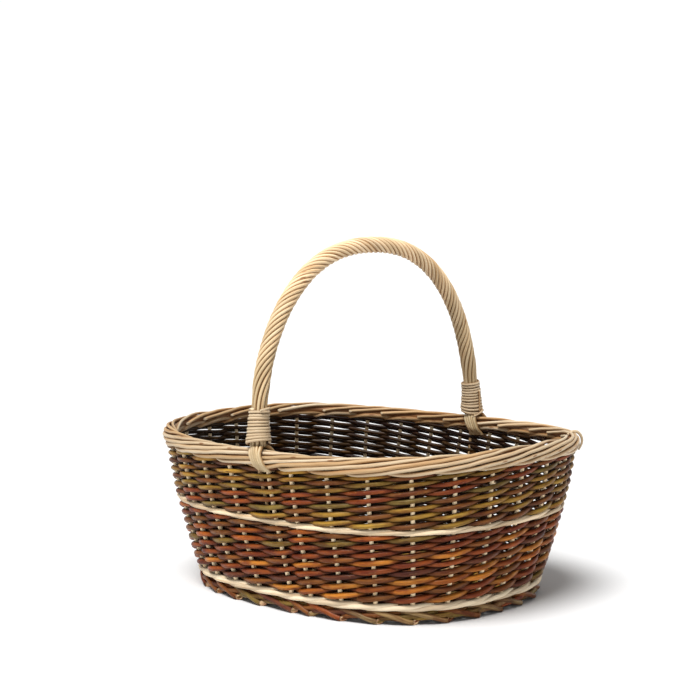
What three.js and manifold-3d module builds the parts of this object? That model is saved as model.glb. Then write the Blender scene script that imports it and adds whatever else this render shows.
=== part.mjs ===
// Oval willow basket with a fixed hoop handle.
//
// Millimetres, +Z up. The origin is on the surface the basket stands on, under the middle of
// the oval. +X runs along the oval's long axis and the hoop handle arches over along Y.
//
// The wall is a stack of woven bands on upright side stakes. A place on the wall has three
// coordinates: a turn (0 to 1 round the oval), a height, and a depth (outwards from the
// stakes' centre surface). A place on the handle has a run along the hoop, a radius from the
// bow's centre line and an angle round it.

import * as THREE from 'three';
import { mergeVertices } from 'three/addons/utils/BufferGeometryUtils.js';
import Module from 'manifold-3d';

const wasm = await Module();
wasm.setup();

// Oval at the border, measured to the stakes' centre surface.
const RIM_HALF_LENGTH = 222;
const RIM_HALF_WIDTH = 178;
const OVAL_EXPONENT = 2.66;      // 2 is an ellipse; more makes the sides straighter
const LENGTH_FLARE = 43;         // how much shorter each end is at the floor
const WIDTH_FLARE = 36;          // how much narrower each side is at the floor
const FLARE_EXPONENT = 1.4;      // over 1 makes the wall steeper towards the border
const RIM_RISE = 6;              // how far the border lifts at the two ends

// Heights of the bands, from the floor up.
const FOOT_HEIGHT = 13;
const FOOT_WALE_HEIGHT = 10.5;
const LOWER_SIDING_HEIGHT = 72;
const WAIST_WALE_HEIGHT = 6;
const UPPER_SIDING_HEIGHT = 56;
const BORDER_HEIGHT = 16;

// Thicknesses of the bands, across the wall.
const FOOT_THICKNESS = 13;
const FOOT_WALE_THICKNESS = 14;
const SIDING_THICKNESS = 12;
const WAIST_WALE_THICKNESS = 12.5;
const BORDER_THICKNESS = 17;
const BORDER_BEVEL = 4.5;        // cut off each corner of the border's section

// Side stakes.
const STAKE_COUNT = 30;
const STAKE_PHASE = 0.74;        // where the first stake's head stands, as a share of one spacing
const STAKE_LEAN = 0.28;         // how far round from its head a stake's foot stands, as a share
const STAKE_ASIDE = 0.3;         // how far the stake by the handle's near foot stands aside
const STAKE_RADIUS = 2.3;
const STAKE_SIDES = 5;
const HOLE_OVERRUN = 4;          // how far a hole is cut past the band it goes through
const STAKE_SOCKET_DEPTH = 7;    // how far a stake runs into the foot and into the border

// Base.
const BASE_LIFT = 9;             // floor to the underside of the base
const BASE_THICKNESS = 11.5;
const LONG_STICK_COUNT = 3;
const CROSS_STICK_COUNT = 5;
const STICK_RADIUS = 2.4;
const STICK_SIDES = 6;
const STICK_SETBACK = 1.5;       // how far a stick stops short of the base's edge
const CHANNEL_OVERRUN = 10;      // how far its channel is cut past the edge
const LONG_STICK_PITCH = 13;
const CROSS_STICK_PITCH = 34;

// Hoop handle.
const HOOP_RISE = 221;           // from the hoop's springing to the middle of its top
const HOOP_SPRING_DROP = 8;      // the springing is this far below the border's middle
const HOOP_EXPONENT = 2.3;
const HOOP_OFFSET = 6;           // the hoop stands this far to +X of the oval's middle
const BOW_END_RADIUS = 2.8;      // the bow is shaved thin where it runs down in the wall
const BOW_END_DEPTH = 46;        // how far the bow runs down below the border
const BOW_THROAT_DEPTH = 2;      // where its shaved end begins, below the border
const BOW_STATIONS = 22;
const BOW_SIDES = 8;
const NEAR_TURN = 0.75;          // the handle's near foot stands in the middle of the -Y side
const FAR_TURN = 0.25;
const WRAP_COUNT = 10;
const WRAP_RADIUS = 1.72;
const WRAP_GAP = 0.45;           // between neighbouring rods where the hoop bends tightest
const WRAP_TURNS = 6;
const WRAP_STATIONS_PER_TURN = 6;
const STRAIGHT_SHARES = [0, 0.35, 0.7];    // a rod's stations under the binding
const STRAIGHT_LEAD = 0.65;      // it is straight from this share of its radius below the binding
const TAIL_SPREAD = 0.4;         // between neighbouring rods where they lie over the border
const TAIL_DRIFT = 14;           // how far the tails slant towards +X as they go down over it
const TAIL_DEPTH = 5;            // how far a rod's tail runs below the border
const TAIL_SHOULDER = 0.9;       // below the border's top, where a tail turns down over its edge
const TAIL_RISE = 2.5;           // above it, where a tail leaves the ring of rods
const WRAP_SIDES = 4;
const TAIL_GAP = 0.6;            // between a tail and the border and wall beside it
const BINDING_LIFT = 4.5;        // gap between the border's top and the binding
const BINDING_LENGTH = 38;
const BINDING_ROD = 3.4;
const BINDING_GAP = 0.8;         // between the wrapping rods and the binding round them
const BINDING_SWELL = 0.8;       // how much thicker the binding is at its foot
const BINDING_WAIST = 0.4;       // it thins above this share of its length
const BINDING_CHAMFER = 1;
const BINDING_SIDES = 16;
const TWIST_LIFT = 4;            // the rods run straight this far past the binding

const CLEARANCE = 0.3;           // gap between pieces that touch
const SEGMENTS_PER_STAKE = 2;
const LATHE_RADIUS = 1000;       // working radius of a band before it takes the oval's shape
const BEND_SAMPLES = 90;         // steps along the hoop when its tightest bend is looked for
const RING_ROUNDS = 8;           // rounds in which the ring of wrapping rods settles

// A ring's facets are turned so that each stake stands in the middle of one.
const ringPhase = (STAKE_PHASE + 0.5 / SEGMENTS_PER_STAKE) / STAKE_COUNT;

// Heights worked out from the bands.
const FOOT_TOP = FOOT_HEIGHT;
const LOWER_SIDING_BASE = FOOT_TOP + FOOT_WALE_HEIGHT;
const WAIST_BASE = LOWER_SIDING_BASE + LOWER_SIDING_HEIGHT;
const UPPER_SIDING_BASE = WAIST_BASE + WAIST_WALE_HEIGHT;
const BORDER_BASE = UPPER_SIDING_BASE + UPPER_SIDING_HEIGHT;
const BORDER_MIDDLE = BORDER_BASE + BORDER_HEIGHT / 2;
const BORDER_TOP = BORDER_BASE + BORDER_HEIGHT;

const peeledWillow = { color: 0xd8bd93, roughness: 0.55, metalness: 0 };
const oliveWillow = { color: 0x7b5a2a, roughness: 0.6, metalness: 0 };
const redWillow = { color: 0x7d3c1e, roughness: 0.6, metalness: 0 };
const footWillow = { color: 0x6b4028, roughness: 0.65, metalness: 0 };
const baseWillow = { color: 0x6f4a2c, roughness: 0.7, metalness: 0 };

// ---------------------------------------------------------------- curves

const signedPower = (value, power) => Math.sign(value) * Math.abs(value) ** power;

// The oval seen from above, for the given half length and half width.
class OvalCurve extends THREE.Curve {
  constructor(halfLength, halfWidth) {
    super();
    this.halfLength = halfLength;
    this.halfWidth = halfWidth;
    this.arcLengthDivisions = 1440;
  }

  getPoint(t, target = new THREE.Vector3()) {
    const angle = 2 * Math.PI * t;
    const power = 2 / OVAL_EXPONENT;
    const x = this.halfLength * signedPower(Math.cos(angle), power);
    const y = this.halfWidth * signedPower(Math.sin(angle), power);
    return target.set(x, y, 0);
  }
}

// The handle's centre line, from the near springing (-Y) over the top to the far one (+Y).
class HoopCurve extends THREE.Curve {
  constructor() {
    super();
    this.arcLengthDivisions = 800;
  }

  getPoint(t, target = new THREE.Vector3()) {
    const angle = Math.PI * t;
    const power = 2 / HOOP_EXPONENT;
    const rise = Math.abs(Math.sin(angle)) ** power;
    const y = -RIM_HALF_WIDTH * signedPower(Math.cos(angle), power);
    return target.set(HOOP_OFFSET, y, BORDER_MIDDLE - HOOP_SPRING_DROP + HOOP_RISE * rise);
  }
}

const rimOval = new OvalCurve(RIM_HALF_LENGTH, RIM_HALF_WIDTH);
const hoop = new HoopCurve();
const hoopLength = hoop.getLength();
const hoopSide = new THREE.Vector3(1, 0, 0);

// A point of the wall. The turn is even round the border, so stakes keep an even spacing.
function wallPoint(turn, height, depth = 0) {
  const angle = 2 * Math.PI * rimOval.getUtoTmapping(THREE.MathUtils.euclideanModulo(turn, 1));
  const drop = Math.max(0, 1 - height / BORDER_MIDDLE) ** FLARE_EXPONENT;
  const halfLength = RIM_HALF_LENGTH - LENGTH_FLARE * drop;
  const halfWidth = RIM_HALF_WIDTH - WIDTH_FLARE * drop;
  const cos = Math.cos(angle);
  const sin = Math.sin(angle);
  const power = 2 / OVAL_EXPONENT;
  const outwardX = signedPower(cos, 2 - power) / halfLength;
  const outwardY = signedPower(sin, 2 - power) / halfWidth;
  const size = Math.hypot(outwardX, outwardY);
  const lift = RIM_RISE * cos * cos * (height / BORDER_MIDDLE) ** 2;
  return new THREE.Vector3(
    halfLength * signedPower(cos, power) + depth * outwardX / size,
    halfWidth * signedPower(sin, power) + depth * outwardY / size,
    height + lift,
  );
}

// A point on the handle: run is in millimetres along the hoop from its near springing.
function hoopPoint(run, radius, angle) {
  const share = THREE.MathUtils.clamp(run / hoopLength, 0, 1);
  const tangent = hoop.getTangentAt(share);
  const outward = new THREE.Vector3().crossVectors(hoopSide, tangent).normalize();
  return hoop.getPointAt(share)
    .addScaledVector(outward, radius * Math.cos(angle))
    .addScaledVector(hoopSide, radius * Math.sin(angle));
}

// ---------------------------------------------------------------- solids

function weld(geometry) {
  geometry.deleteAttribute('normal');
  geometry.deleteAttribute('uv');
  return mergeVertices(geometry, 1e-4);
}

// Moves every vertex of a geometry to the place that the function gives for it.
function reshape(geometry, place) {
  const positions = geometry.getAttribute('position');
  const vertex = new THREE.Vector3();
  for (let i = 0; i < positions.count; i += 1) {
    const moved = place(vertex.fromBufferAttribute(positions, i));
    positions.setXYZ(i, moved.x, moved.y, moved.z);
  }
  return weld(geometry);
}

// A rod through a list of points, with a radius at each point.
function rod(points, radii, sides) {
  const last = points.length - 1;
  const frames = [];
  let normal = new THREE.Vector3(1, 0, 0);
  for (let i = 0; i <= last; i += 1) {
    const ahead = points[Math.min(i + 1, last)];
    const behind = points[Math.max(i - 1, 0)];
    const tangent = new THREE.Vector3().subVectors(ahead, behind).normalize();
    if (i === 0 && Math.abs(tangent.x) > 0.9) normal = new THREE.Vector3(0, 1, 0);
    normal = normal.clone().addScaledVector(tangent, -normal.dot(tangent)).normalize();
    frames.push({ normal, binormal: new THREE.Vector3().crossVectors(tangent, normal) });
  }
  const tube = new THREE.CylinderGeometry(1, 1, 1, sides, last);
  return reshape(tube, (vertex) => {
    const i = Math.round((0.5 - vertex.y) * last);
    return points[i].clone()
      .addScaledVector(frames[i].normal, radii[i] * vertex.x)
      .addScaledVector(frames[i].binormal, radii[i] * vertex.z);
  });
}

// A closed ring round the wall, whose section is a list of [depth, height] corners.
function wallRing(corners) {
  const profile = [...corners, corners[0]];
  const points = profile.map(([depth, height]) => new THREE.Vector2(LATHE_RADIUS + depth, height));
  const lathe = new THREE.LatheGeometry(points, STAKE_COUNT * SEGMENTS_PER_STAKE);
  return reshape(lathe, (vertex) => {
    const turn = Math.atan2(vertex.x, vertex.z) / (2 * Math.PI) + ringPhase;
    return wallPoint(turn, vertex.y, Math.hypot(vertex.x, vertex.z) - LATHE_RADIUS);
  });
}

function toSolid(geometry) {
  return new wasm.Manifold(new wasm.Mesh({
    numProp: 3,
    vertProperties: new Float32Array(geometry.getAttribute('position').array),
    triVerts: new Uint32Array(geometry.index.array),
  }));
}

function toGeometry(solid) {
  const { vertProperties, triVerts } = solid.getMesh();
  const geometry = new THREE.BufferGeometry();
  geometry.setAttribute('position', new THREE.BufferAttribute(vertProperties, 3));
  geometry.setIndex(new THREE.BufferAttribute(triVerts, 1));
  geometry.computeVertexNormals();
  return geometry;
}

function cut(geometry, cutters) {
  return toGeometry(cutters.reduce((solid, cutter) => solid.subtract(toSolid(cutter)),
    toSolid(geometry)));
}

// ---------------------------------------------------------------- wall

// A band's section: straight sides, with the gap that it keeps to the band above it.
function bandCorners(bottom, top, thickness) {
  const half = thickness / 2;
  return [[-half, bottom], [half, bottom], [half, top - CLEARANCE], [-half, top - CLEARANCE]];
}

// The border's section is an octagon: the corners of a box, each cut off.
function borderCorners() {
  const half = BORDER_THICKNESS / 2;
  const bevel = BORDER_BEVEL;
  return [
    [-half + bevel, BORDER_BASE], [half - bevel, BORDER_BASE],
    [half, BORDER_BASE + bevel], [half, BORDER_TOP - bevel],
    [half - bevel, BORDER_TOP], [-half + bevel, BORDER_TOP],
    [-half, BORDER_TOP - bevel], [-half, BORDER_BASE + bevel],
  ];
}

// Stakes stand evenly round the oval and all lean alike, but the one by the handle's near foot
// stands aside for it.
function stakeTurn(index, height) {
  const besideFoot = Math.ceil(NEAR_TURN * STAKE_COUNT - STAKE_PHASE);
  const aside = index === besideFoot ? STAKE_ASIDE : 0;
  const lean = STAKE_LEAN * Math.max(0, 1 - height / BORDER_BASE);
  return (index + STAKE_PHASE + aside + lean) / STAKE_COUNT;
}

// The centre line of a side stake. It bends only in the gaps between bands.
function stakePath(index) {
  const bends = [LOWER_SIDING_BASE, WAIST_BASE, BORDER_BASE].map((top) => top - CLEARANCE / 2);
  const foot = FOOT_TOP - STAKE_SOCKET_DEPTH;
  const head = BORDER_BASE + STAKE_SOCKET_DEPTH;
  return [foot, ...bends, head].map((height) => wallPoint(stakeTurn(index, height), height));
}

const stakeGeometry = (index) => {
  const path = stakePath(index);
  return rod(path, path.map(() => STAKE_RADIUS), STAKE_SIDES);
};

// A straight hole round the stretch of a rod between two points, run on past each of them.
function hole(low, high, radii, pastLow, pastHigh, sides) {
  const along = new THREE.Vector3().subVectors(high, low).normalize();
  const ends = [
    low.clone().addScaledVector(along, -pastLow),
    high.clone().addScaledVector(along, pastHigh),
  ];
  const roundness = Math.cos(Math.PI / sides);
  return rod(ends, radii.map((radius) => (radius + CLEARANCE) / roundness), sides);
}

// The holes that the stakes need in one band: stretch is the stretch of the stake's path that
// passes through it, and a blind end is only a clearance longer than the stake.
function stakeHoles(stretch) {
  const pastLow = stretch === 0 ? CLEARANCE : HOLE_OVERRUN;
  const pastHigh = stretch === 3 ? CLEARANCE : HOLE_OVERRUN;
  return Array.from({ length: STAKE_COUNT }, (_, index) => {
    const [low, high] = stakePath(index).slice(stretch, stretch + 2);
    return hole(low, high, [STAKE_RADIUS, STAKE_RADIUS], pastLow, pastHigh, STAKE_SIDES);
  });
}

// ---------------------------------------------------------------- handle

// Where the hoop comes out of the top of the border, and the wrapping's ring of rods.
const bindingStart = HOOP_SPRING_DROP + BORDER_HEIGHT / 2 + BINDING_LIFT;
const bindingEnd = bindingStart + BINDING_LENGTH;
const twistStart = bindingEnd + TWIST_LIFT;
const twistLength = hoopLength - 2 * twistStart;

// The radius of the hoop's tightest bend.
function tightestBend() {
  const tangents = hoop.getSpacedPoints(BEND_SAMPLES).map((_, i) => hoop.getTangentAt(i / BEND_SAMPLES));
  const turns = tangents.slice(1).map((tangent, i) => tangent.angleTo(tangents[i]));
  return hoopLength / BEND_SAMPLES / Math.max(...turns);
}

// The wrapping rods lie side by side on a ring, twisted round the bow. Their spacing shrinks
// with the slope of the twist, and on the inside of a bend of the hoop.
function wrapRingRadius() {
  const pitch = 2 * WRAP_RADIUS + WRAP_GAP;
  const chord = 2 * Math.sin(Math.PI / WRAP_COUNT);
  const bend = tightestBend();
  let ring = pitch / chord;
  for (let i = 0; i < RING_ROUNDS; i += 1) {
    const slope = 2 * Math.PI * ring * WRAP_TURNS / (twistLength * (1 - ring / bend));
    ring = pitch * Math.hypot(1, slope) / chord;
  }
  return ring;
}

// The bow fills the ring of rods. A rod's straight stretches between stations cut inside the
// ring, which leaves the bow less room.
const wrapRing = wrapRingRadius();
const wrapSagitta = Math.cos(Math.PI / WRAP_STATIONS_PER_TURN);
const bowRadius = wrapRing * wrapSagitta - WRAP_RADIUS - CLEARANCE;

// A point of the wall at one of the handle's feet.
function footPoint(farSide, height, depth = 0, aside = 0) {
  const point = wallPoint(farSide ? FAR_TURN : NEAR_TURN, height, depth);
  point.x += HOOP_OFFSET + aside;
  return point;
}

// Where the bow's shaved end runs inside the wall, from its tip up to just below the border.
function bowEnd(farSide) {
  return [BORDER_BASE - BOW_END_DEPTH, BORDER_BASE - BOW_THROAT_DEPTH].map((height) => (
    footPoint(farSide, height)));
}

// The bow, from its thin end in the near wall over the top to the far wall.
function bowGeometry() {
  const near = bowEnd(false);
  const far = bowEnd(true).reverse();
  const arch = [];
  for (let i = 0; i <= BOW_STATIONS; i += 1) {
    const run = bindingStart + (hoopLength - 2 * bindingStart) * i / BOW_STATIONS;
    arch.push(hoopPoint(run, 0, 0));
  }
  const endRadii = near.map(() => BOW_END_RADIUS);
  const radii = [...endRadii, ...arch.map(() => bowRadius), ...endRadii];
  return rod([...near, ...arch, ...far], radii, BOW_SIDES);
}

// The blind holes that the bow's two ends need in the siding below the border.
function bowEndHoles() {
  return [false, true].map((farSide) => {
    const [tip, throat] = bowEnd(farSide);
    return hole(tip, throat, [BOW_END_RADIUS, BOW_END_RADIUS], CLEARANCE, HOLE_OVERRUN, BOW_SIDES);
  });
}

// The tapered holes through which the bow passes the border.
function bowBorderHoles() {
  return [false, true].map((farSide) => {
    const throat = bowEnd(farSide)[1];
    const mouth = hoopPoint(farSide ? hoopLength - bindingStart : bindingStart, 0, 0);
    return hole(throat, mouth, [BOW_END_RADIUS, bowRadius], 0, 0, BOW_SIDES);
  });
}

// Tail of a wrapping rod, from its tip below the border up to the binding. Half of the rods
// pass over the border's outside and half over its inside, slanting as they go down.
function tailPoints(farSide, angle) {
  const outside = Math.cos(angle) > 0;
  const side = outside ? 1 : -1;
  const spread = outside ? Math.sin(angle) : Math.sin(Math.PI - angle);
  const slot = Math.round(Math.asin(spread) / (2 * Math.PI / WRAP_COUNT));
  const borderDepth = side * (BORDER_THICKNESS / 2 + TAIL_GAP + WRAP_RADIUS);
  const tuckDepth = side * (SIDING_THICKNESS / 2 + TAIL_GAP + WRAP_RADIUS);
  const ringDepth = wrapRing * Math.cos(angle);
  const { lerp } = THREE.MathUtils;
  const tip = BORDER_BASE - TAIL_DEPTH;
  const top = BORDER_TOP + TAIL_RISE;
  const pitch = (2 * WRAP_RADIUS + TAIL_SPREAD) * Math.hypot(1, TAIL_DRIFT / (top - tip));
  const places = [
    [tuckDepth, tip],
    [lerp(tuckDepth, borderDepth, 0.5), BORDER_BASE - CLEARANCE - TAIL_GAP],
    [borderDepth, lerp(BORDER_BASE, BORDER_TOP, 0.25)],
    [borderDepth, lerp(BORDER_BASE, BORDER_TOP, 0.75)],
    [lerp(ringDepth, borderDepth, 0.8), BORDER_TOP - TAIL_SHOULDER],
    [lerp(ringDepth, borderDepth, 0.4), top],
  ];
  return places.map(([depth, height]) => {
    const down = (top - height) / (top - tip);
    return footPoint(farSide, height, depth, slot * pitch + TAIL_DRIFT * down);
  });
}

// One wrapping rod: tail, straight run under the binding, twist round the bow, and back down.
function wrapGeometry(index) {
  const startAngle = 2 * Math.PI * index / WRAP_COUNT;
  const stations = WRAP_TURNS * WRAP_STATIONS_PER_TURN;
  const straightStart = bindingStart - STRAIGHT_LEAD * WRAP_RADIUS;
  const straightRuns = STRAIGHT_SHARES.map((share) => straightStart + share * BINDING_LENGTH);
  const points = tailPoints(false, startAngle);
  points.push(...straightRuns.map((run) => hoopPoint(run, wrapRing, startAngle)));
  for (let i = 0; i <= stations; i += 1) {
    const angle = startAngle + 2 * Math.PI * i / WRAP_STATIONS_PER_TURN;
    points.push(hoopPoint(twistStart + twistLength * i / stations, wrapRing, angle));
  }
  straightRuns.reverse();
  points.push(...straightRuns.map((run) => hoopPoint(hoopLength - run, wrapRing, startAngle)));
  points.push(...tailPoints(true, startAngle).reverse());
  return rod(points, points.map(() => WRAP_RADIUS), WRAP_SIDES);
}

// The coiled binding round the foot of the handle, as a barrel with a hole for the rods.
function bindingGeometry(farSide) {
  const inner = wrapRing + WRAP_RADIUS + BINDING_GAP;
  const outer = inner + BINDING_ROD;
  const corners = [
    [inner, 0],
    [outer + BINDING_SWELL, BINDING_CHAMFER],
    [outer + BINDING_SWELL, BINDING_LENGTH * BINDING_WAIST],
    [outer, BINDING_LENGTH - BINDING_CHAMFER],
    [inner, BINDING_LENGTH],
    [inner, 0],
  ];
  const points = corners.map(([radius, run]) => new THREE.Vector2(radius, run));
  return reshape(new THREE.LatheGeometry(points, BINDING_SIDES), (vertex) => {
    const run = bindingStart + vertex.y;
    const angle = Math.atan2(vertex.x, vertex.z);
    const radius = Math.hypot(vertex.x, vertex.z);
    return hoopPoint(farSide ? hoopLength - run : run, radius, farSide ? -angle : angle);
  });
}

// ---------------------------------------------------------------- base

// Half length and half width of the base plate, inside the foot and the foot wale.
function basePoint(turn, height) {
  const thickest = Math.max(FOOT_THICKNESS, FOOT_WALE_THICKNESS);
  return wallPoint(turn, BASE_LIFT, -(thickest / 2 + CLEARANCE)).setZ(height);
}

function basePlateGeometry() {
  const segments = STAKE_COUNT * SEGMENTS_PER_STAKE;
  const disc = new THREE.CylinderGeometry(1, 1, BASE_THICKNESS, segments);
  return reshape(disc, (vertex) => {
    const height = BASE_LIFT + BASE_THICKNESS / 2 + vertex.y;
    const turn = Math.atan2(-vertex.z, vertex.x) / (2 * Math.PI);
    const onAxis = Math.hypot(vertex.x, vertex.z) < 0.5;
    return onAxis ? new THREE.Vector3(0, 0, height) : basePoint(turn, height);
  });
}

// Half the width that the base has at a distance from its middle, along X or along Y.
function baseReach(offset, alongX) {
  const tip = alongX ? basePoint(0, 0).x : basePoint(0.25, 0).y;
  const side = alongX ? basePoint(0.25, 0).y : basePoint(0, 0).x;
  return tip * (1 - Math.abs(offset / side) ** OVAL_EXPONENT) ** (1 / OVAL_EXPONENT);
}

const centred = (index, count, pitch) => (index - (count - 1) / 2) * pitch;

// A base stick, short of the base's edge by the given amount.
function stickGeometry(alongX, index, grow = 0, short = STICK_SETBACK) {
  const offset = alongX
    ? centred(index, LONG_STICK_COUNT, LONG_STICK_PITCH)
    : centred(index, CROSS_STICK_COUNT, CROSS_STICK_PITCH);
  const layer = STICK_RADIUS + CLEARANCE;
  const middle = BASE_LIFT + BASE_THICKNESS / 2;
  const height = alongX ? middle - layer : middle + layer;
  const reach = baseReach(offset, alongX) - short;
  const ends = [-reach, reach];
  const points = ends.map((end) => (alongX
    ? new THREE.Vector3(end, offset, height)
    : new THREE.Vector3(offset, end, height)));
  return rod(points, ends.map(() => STICK_RADIUS + grow), STICK_SIDES);
}

// ---------------------------------------------------------------- assembly

const basket = new THREE.Group();

function addPiece(parent, name, geometry, finish) {
  const mesh = new THREE.Mesh(geometry, new THREE.MeshStandardMaterial(finish));
  mesh.name = name;
  parent.add(mesh);
}

function addWall() {
  const wall = new THREE.Group();
  const bands = [
    ['foot_border', bandCorners(0, FOOT_TOP, FOOT_THICKNESS), stakeHoles(0), footWillow],
    ['foot_wale', bandCorners(FOOT_TOP, LOWER_SIDING_BASE, FOOT_WALE_THICKNESS), stakeHoles(0),
      peeledWillow],
    ['lower_siding', bandCorners(LOWER_SIDING_BASE, WAIST_BASE, SIDING_THICKNESS), stakeHoles(1),
      redWillow],
    ['waist_wale', bandCorners(WAIST_BASE, UPPER_SIDING_BASE, WAIST_WALE_THICKNESS), stakeHoles(2),
      peeledWillow],
    ['upper_siding', bandCorners(UPPER_SIDING_BASE, BORDER_BASE, SIDING_THICKNESS),
      [...stakeHoles(2), ...bowEndHoles()], oliveWillow],
    ['rolled_border', borderCorners(), [...stakeHoles(3), ...bowBorderHoles()], peeledWillow],
  ];
  for (const [name, corners, holes, finish] of bands) {
    addPiece(wall, name, cut(wallRing(corners), holes), finish);
  }
  for (let i = 0; i < STAKE_COUNT; i += 1) {
    addPiece(wall, `side_stake_${String(i + 1).padStart(2, '0')}`, stakeGeometry(i), peeledWillow);
  }
  basket.add(wall);
}

function addBase() {
  const base = new THREE.Group();
  const channels = [];
  for (const [alongX, count, name] of [
    [true, LONG_STICK_COUNT, 'base_long_stick'],
    [false, CROSS_STICK_COUNT, 'base_cross_stick'],
  ]) {
    for (let i = 0; i < count; i += 1) {
      addPiece(base, `${name}_${i + 1}`, stickGeometry(alongX, i), peeledWillow);
      channels.push(stickGeometry(alongX, i, CLEARANCE, -CHANNEL_OVERRUN));
    }
  }
  addPiece(base, 'base_weave', cut(basePlateGeometry(), channels), baseWillow);
  basket.add(base);
}

function addHandle() {
  const handle = new THREE.Group();
  addPiece(handle, 'handle_bow', bowGeometry(), peeledWillow);
  for (let i = 0; i < WRAP_COUNT; i += 1) {
    addPiece(handle, `handle_wrap_rod_${String(i + 1).padStart(2, '0')}`, wrapGeometry(i), peeledWillow);
  }
  addPiece(handle, 'handle_binding_near', bindingGeometry(false), peeledWillow);
  addPiece(handle, 'handle_binding_far', bindingGeometry(true), peeledWillow);
  basket.add(handle);
}

addWall();
addBase();
addHandle();

export default basket;
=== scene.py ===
"""Looks of the oval willow basket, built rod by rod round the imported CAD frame.

Metres, +Z up, the CAD's own axes. A place on the wall is (turn, height, depth) as in the CAD:
turn goes 0 to 1 round the oval, depth is outwards from the side stakes' centre surface.
Positions along the wall are often given in stakes: stake j stands at j, whatever its turn.
"""
import math
import random

import bpy
import numpy as np
from mathutils import Matrix, Vector


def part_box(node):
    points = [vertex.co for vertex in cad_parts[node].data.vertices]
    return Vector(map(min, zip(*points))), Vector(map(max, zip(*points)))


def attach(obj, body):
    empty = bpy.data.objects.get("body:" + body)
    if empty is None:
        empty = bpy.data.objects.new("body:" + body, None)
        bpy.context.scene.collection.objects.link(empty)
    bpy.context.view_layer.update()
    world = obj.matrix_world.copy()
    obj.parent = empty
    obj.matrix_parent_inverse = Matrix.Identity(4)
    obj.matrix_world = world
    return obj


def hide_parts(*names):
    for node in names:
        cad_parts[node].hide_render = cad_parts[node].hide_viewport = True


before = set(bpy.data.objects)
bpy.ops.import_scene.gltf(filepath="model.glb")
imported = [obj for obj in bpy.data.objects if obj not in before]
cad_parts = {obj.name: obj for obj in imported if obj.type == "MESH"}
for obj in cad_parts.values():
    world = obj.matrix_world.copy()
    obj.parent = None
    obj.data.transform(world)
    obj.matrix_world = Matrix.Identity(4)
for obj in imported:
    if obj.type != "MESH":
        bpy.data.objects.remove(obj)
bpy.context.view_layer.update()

MM = 0.001
UP = np.array([0.0, 0.0, 1.0])

# -------------------------------------------------- sizes from the frame

# Shape of the oval and of the flared wall, as the CAD has them.
OVAL_POWER = 2 / 2.66
FLARE_EXPONENT = 1.4
RIM_RISE = 6 * MM
BORDER_HEIGHT = 16 * MM
BORDER_THICKNESS = 17 * MM
STAKE_COUNT = 30
STAKE_PHASE = 0.74
STAKE_LEAN = 0.28
STAKE_ASIDE = 0.3
NEAR_TURN = 0.75
FAR_TURN = 0.25

rim_low, rim_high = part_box("rolled_border")
foot_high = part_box("foot_border")[1]
FOOT_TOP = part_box("foot_wale")[0].z
LOWER_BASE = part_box("lower_siding")[0].z
WAIST_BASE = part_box("waist_wale")[0].z
UPPER_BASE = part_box("upper_siding")[0].z
BORDER_BASE = rim_low.z
BORDER_MIDDLE = BORDER_BASE + BORDER_HEIGHT / 2
RIM_HALF_LENGTH = rim_high.x - BORDER_THICKNESS / 2
RIM_HALF_WIDTH = rim_high.y - BORDER_THICKNESS / 2
FOOT_THICKNESS = 13 * MM
foot_drop = (1 - foot_high.z / BORDER_MIDDLE) ** FLARE_EXPONENT
LENGTH_FLARE = (RIM_HALF_LENGTH - foot_high.x + FOOT_THICKNESS / 2) / foot_drop
WIDTH_FLARE = (RIM_HALF_WIDTH - foot_high.y + FOOT_THICKNESS / 2) / foot_drop

# Hoop handle, as the CAD has it.
HOOP_SPRING = BORDER_MIDDLE - 8 * MM
HOOP_RISE = 221 * MM
HOOP_POWER = 2 / 2.3
HOOP_OFFSET = (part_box("handle_binding_near")[0].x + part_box("handle_binding_near")[1].x) / 2
BINDING_LIFT = 4.5 * MM
BINDING_LENGTH = 38 * MM
WRAP_TURNS = 6
WRAP_RING = 7.17 * MM
TAIL_DRIFT = 10 * MM
TAIL_STEP = 3 * MM
TAIL_PITCH = 3.3 * MM
NEAR_STEP = 4 * MM           # the handle's near foot stands this far further along the rim
NEAR_STEP_REACH = 95 * MM

# Rod radii.
STAKE_RADIUS = 2.3 * MM
UPPER_WEAVER = (2.65 * MM, 2.10 * MM)    # butt and tip
LOWER_WEAVER = (3.10 * MM, 2.50 * MM)
FOOT_WALE_ROD = 2.65 * MM
WAIST_ROD = 2.0 * MM
BORDER_ROD = 2.25 * MM
UPPER_STROKES = 14      # stakes that a weaver passes from its butt to its tip
LOWER_STROKES = 16

# -------------------------------------------------- colours (linear)

BUFF = (0.555, 0.44, 0.29)
BUFF_PALE = (0.63, 0.515, 0.36)
WALE_PALE = (0.82, 0.68, 0.48)
BUFF_TAN = (0.48, 0.325, 0.17)
# painted light: the stakes are coloured brighter than peeled willow, so that they stay bright
# between the shaded weavers
STAKE_PAINTED_LIGHT = (1.0, 0.82, 0.55)
PITH = (0.80, 0.66, 0.45)
BROWN_PITH = (0.62, 0.42, 0.24)
OLIVE = (0.300, 0.175, 0.027)
OCHRE = (0.385, 0.228, 0.034)
MOSS = (0.180, 0.112, 0.022)
BROWN = (0.180, 0.062, 0.012)
RED = (0.225, 0.052, 0.010)
RUST = (0.310, 0.080, 0.010)
ORANGE = (0.440, 0.160, 0.020)
PLUM = (0.120, 0.036, 0.016)
DUSTY = (0.250, 0.160, 0.065)
GROOVE_PAINTED_SHADE = (0.42, 0.25, 0.13)       # painted shade: what is left of a colour down between two rods
SOFT_GROOVE_PAINTED_SHADE = (0.62, 0.46, 0.32)  # the same painted shade, lighter, for pale rods that lie loosely side by side
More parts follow.
